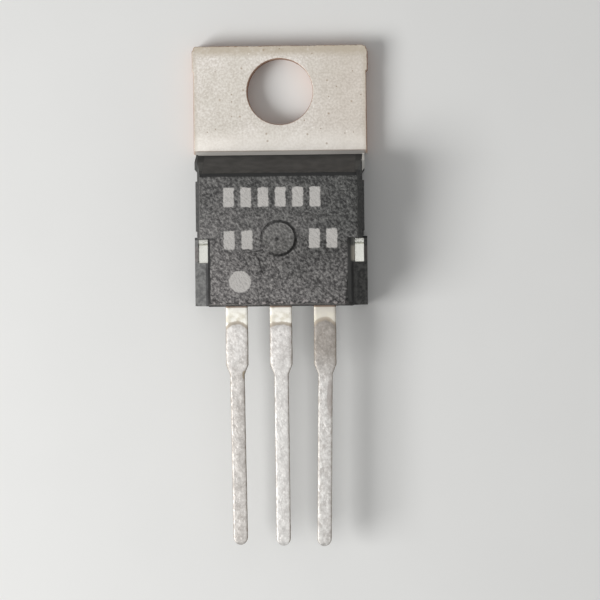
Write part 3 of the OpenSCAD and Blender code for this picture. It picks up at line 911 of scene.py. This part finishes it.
def shape_header():
    """The header without its lead, with soft edges and a ragged outline."""
    bm = solid_copy("heatsink_tab")
    body_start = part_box("molded_body")[1].y
    free_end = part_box("heatsink_tab")[1].y
    everything = [*bm.verts, *bm.edges, *bm.faces]
    cut = bmesh.ops.bisect_plane(bm, geom=everything, dist=0.05 * CLOSE, clear_outer=True,
                                 plane_co=(0, LEAD_CUT * MM, 0), plane_no=(0, -1, 0))
    rim = [item for item in cut["geom_cut"] if isinstance(item, bmesh.types.BMEdge)]
    bmesh.ops.edgenet_fill(bm, edges=rim)
    outer = free_edges(bm, "heatsink_tab")
    print("header edges to soften:", len(outer))
    soften(bm, outer, TAB_EDGE)

    def bare(face):
        middle = face.calc_center_median()
        return middle.y > body_start - 0.01 * MM and middle.z > TAB_TOP * MM - 0.02 * MM

    cut_at(bm, bare, (1, 0, 0), steps(-TAB_HALF, TAB_HALF, TAB_GRID))
    cut_at(bm, bare, (0, 1, 0), steps(body_start, free_end, TAB_GRID))
    for vert in bm.verts:
        here = vert.co / MM
        flat = Vector((here.x, here.y, 0))
        if here.y > free_end / MM - 0.06:
            vert.co.y -= RAGGED_END * abs(noise.noise(flat * 5) + 0.5 * noise.noise(flat * 13))
        elif abs(here.x) > 4.95 and here.y > body_start / MM + 0.05:
            vert.co.x -= math.copysign(RAGGED_SIDE, here.x) * MM * abs(noise.noise(flat * 5))
    return bm


def paint(bm, name, value):
    """Writes a value for each point, which a finish reads under the same name."""
    layer = bm.verts.layers.float.new(name)
    for vert in bm.verts:
        vert[layer] = value(vert.co / MM)


def on_a_cut_side(here):
    """One on the tab's sheared sides and in its hole, and less on the rounded outer edges."""
    if here.z < 0.02 or here.z > TAB_TOP - 0.005 or here.y < JOINT_Y - 0.2:
        return 0.0
    return 1.0 if here.z < TAB_TOP - 0.03 or here.xy.length < NEAR_HOLE else 0.6


def near_an_edge(here):
    """Most along the free end, and less along the sides."""
    end = ramp(here.y, 1.95, 2.35)
    side = ramp(abs(here.x), 4.75, 5.0)
    return max(end, 0.6 * side)


bm = shape_header()
paint(bm, "sheared", on_a_cut_side)
paint(bm, "tired", near_an_edge)
finish_piece(bm, "plated_tab", nickel, "plated_header", "heatsink_tab", smooth=15.0)

# %% [markdown]
# A lead starts as a plain bar. Its long edges are bevelled, it is cut across into short lengths, and
# then every ring of points is moved at once: narrower below the shoulders, sideways where the lead
# leans, and round at the tip. Below the arc the coat of solder adds a few hundredths of a millimetre,
# thickest along the middle, and smooth noise makes it lumpy. Each lead is given by its name, the node
# that it stands for, its place, its lean in degrees and a shift of the noise.

# %% Shape the leads
LEAD_WIDE = 1.26
LEAD_THIN = 0.80
LEAD_BEVEL = 0.07
WIDE_LEN = 3.35
SHOULDER_LEN = 0.58
TIP_LEN = 0.46
TIP_TURN = math.radians(84)
TIP_THIN = 0.45
ROOT_DEPTH = 0.5
RINGS = 180
TIP_RINGS = 12
COAT_START = 0.25
COAT = 0.016
COAT_CROWN = 0.03
COAT_SIDE = 0.018
LEADS = [("base_lead", "base_lead", -PITCH, 0.6, 1.7), ("collector_lead", "heatsink_tab", 0.0, 0.2, 5.1),
         ("emitter_lead", "emitter_lead", PITCH, -0.9, 9.3)]


def shape_lead(across, tip, lean, arc, bow, seed):
    """across and tip are the lead's middle and its end in millimetres."""
    bottom, top = (corner.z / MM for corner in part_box("base_lead"))
    thick = top - bottom
    bm = bmesh.new()
    bmesh.ops.create_cube(bm, size=1)
    bmesh.ops.scale(bm, vec=(LEAD_WIDE, 1, thick), verts=bm.verts)
    long_edges = [edge for edge in bm.edges if abs(edge.verts[0].co.y - edge.verts[1].co.y) > 0.5]
    bmesh.ops.bevel(bm, geom=long_edges, offset=LEAD_BEVEL, affect="EDGES", segments=3, profile=0.5,
                    material=-1)
    flat_edges = [edge for edge in bm.edges if abs(edge.verts[0].co.x - edge.verts[1].co.x) > 0.5]
    bmesh.ops.subdivide_edges(bm, edges=flat_edges, cuts=9, use_grid_fill=True)
    long_edges = [edge for edge in bm.edges if abs(edge.verts[0].co.y - edge.verts[1].co.y) > 0.5]
    bmesh.ops.subdivide_edges(bm, edges=long_edges, cuts=RINGS - 1, use_grid_fill=True)
    start = BODY_END + ROOT_DEPTH
    wide_end = BODY_END - WIDE_LEN
    thin_start = wide_end - SHOULDER_LEN
    tip_start = tip + TIP_LEN
    slope = math.tan(math.radians(lean))
    rim = bm.verts.layers.float.new("rim")
    for vert in bm.verts:
        ring = round((0.5 - vert.co.y) * RINGS)
        round_off = 1.0
        if ring <= RINGS - TIP_RINGS:
            y = start + (tip_start - start) * ring / (RINGS - TIP_RINGS)
        else:
            turn = TIP_TURN * (ring - RINGS + TIP_RINGS) / TIP_RINGS
            y = tip_start - TIP_LEN * math.sin(turn) / math.sin(TIP_TURN)
            round_off = math.cos(turn)
        narrow = ramp(wide_end - y, 0, SHOULDER_LEN)
        width = (LEAD_WIDE + (LEAD_THIN - LEAD_WIDE) * narrow) / LEAD_WIDE * round_off
        side = vert.co.x / (LEAD_WIDE / 2)
        vert[rim] = ramp(abs(side), 0.84, 1.0)
        x = side * LEAD_WIDE / 2 * width
        z = vert.co.z * (TIP_THIN + (1 - TIP_THIN) * round_off)
        away = BODY_END - y
        coat = ramp(away - arc - bow * x * x, 0, COAT_START)
        if coat > 0:
            spot = Vector((x * 2.2 + seed, y * 1.3, z * 2))
            lump = 0.5 + 0.5 * noise.noise(spot) + 0.25 * noise.noise(spot * 3)
            crown = 1 - side * side
            z += math.copysign(coat * (COAT + COAT_CROWN * crown * lump) * round_off, z)
            if abs(side) > 0.85:
                x += math.copysign(coat * COAT_SIDE * lump * round_off, x)
        shift = slope * max(0.0, thin_start - y)
        vert.co = Vector((across + shift + x, y, bottom + thick / 2 + z)) * MM
    bmesh.ops.recalc_face_normals(bm, faces=bm.faces)
    return bm


for lead, node, across, lean, seed in LEADS:
    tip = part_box(node)[0].y / MM
    bm = shape_lead(across, tip, lean, *ARCS[lead], seed)
    finish_piece(bm, lead + "_dipped", lead_finishes[lead], "dipped_lead", node, smooth=60)

# %% [markdown]
# The chip, its solder and the two wires stay out of sight inside the moulding. They keep the frame's
# meshes and only get finishes of their own, so that a cut-away picture of the part still reads.

# %% Finish the hidden pieces


def plain_metal(name, pale, dark, grain, roughness):
    """Metal in soft clouds of two greys."""
    finish = Finish(name, Metallic=1.0, Roughness=roughness)
    finish.relief(finish.cloud(grain, 3), 0.01, 0.6)
    return finish.use(Base_Color=finish.blend(finish.cloud(grain * 2, 3), pale, dark))


def chip_finish():
    """Polished silicon with fine pale lanes of metal."""
    finish = Finish("silicon", Roughness=0.2)
    lanes = finish.rise(finish.maths("PINGPONG", finish.x, 0.06), 0.02, 0.04)
    return finish.use(Base_Color=finish.blend(lanes, linear(70, 76, 92), linear(190, 192, 196)))


hidden = {
    "transistor_die": chip_finish(),
    "die_solder": plain_metal("soft_solder", linear(150, 152, 155), linear(120, 121, 123), 0.2, 0.5),
    "base_wire": plain_metal("drawn_aluminium", linear(215, 217, 220), linear(190, 192, 196), 0.1, 0.3),
}
hidden["emitter_wire"] = hidden["base_wire"]
for node, material in hidden.items():
    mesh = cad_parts[node].data
    mesh.materials.clear()
    mesh.materials.append(material)
print("hidden pieces finished:", ", ".join(hidden))

# %% [markdown]
# The part lies on a plain pale floor. The floor is no part of the object.

# %% Lay the floor
FLOOR_HALF = 0.8


def lay_floor():
    """A wide level sheet under the part."""
    finish = Finish("pale_floor", Roughness=0.8)
    bm = bmesh.new()
    bmesh.ops.create_grid(bm, x_segments=1, y_segments=1, size=FLOOR_HALF)
    mesh = bpy.data.meshes.new("floor")
    bm.to_mesh(mesh)
    bm.free()
    colour = finish.blend(finish.cloud(6.0, 2), linear(226, 226, 224), linear(230, 230, 228))
    mesh.materials.append(finish.use(Base_Color=colour))
    floor = bpy.data.objects.new("floor", mesh)
    bpy.context.collection.objects.link(floor)
    return floor


floor = lay_floor()
print(floor.name, "is", 2 * FLOOR_HALF, "m across")
